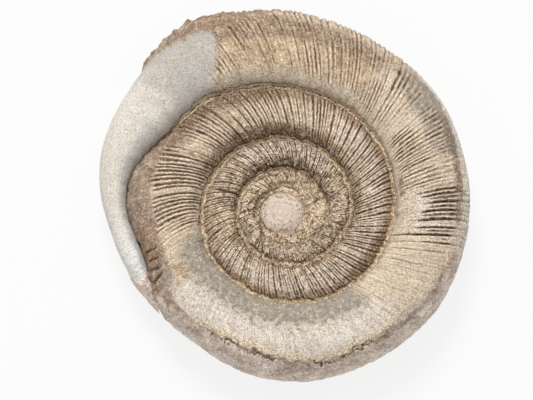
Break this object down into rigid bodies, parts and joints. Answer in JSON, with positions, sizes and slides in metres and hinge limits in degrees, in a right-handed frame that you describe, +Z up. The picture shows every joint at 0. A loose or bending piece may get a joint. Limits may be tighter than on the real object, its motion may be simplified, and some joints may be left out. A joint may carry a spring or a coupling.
{
  "type": "ammonite fossil",
  "caption": "Coiled, finely ribbed ammonite lying on its flat worn side, with a tongue of smooth mudstone where the shell of the outer turn is broken off.",
  "frame": {"origin": "centre of the bounding box's footprint, on the plane the worn underside rests on", "axes": "+Z up out of the coil's face, +X to the right and +Y away from a viewer who sees the pictured side"},
  "size_m": [0.0902, 0.0924, 0.0223],
  "materials": {
    "fossil_stone": "matt, beige to brown fossil shell with grey mudstone"
  },
  "bodies": {
    "root": {"ammonite": "fossil_stone"}
  },
  "joints": []
}
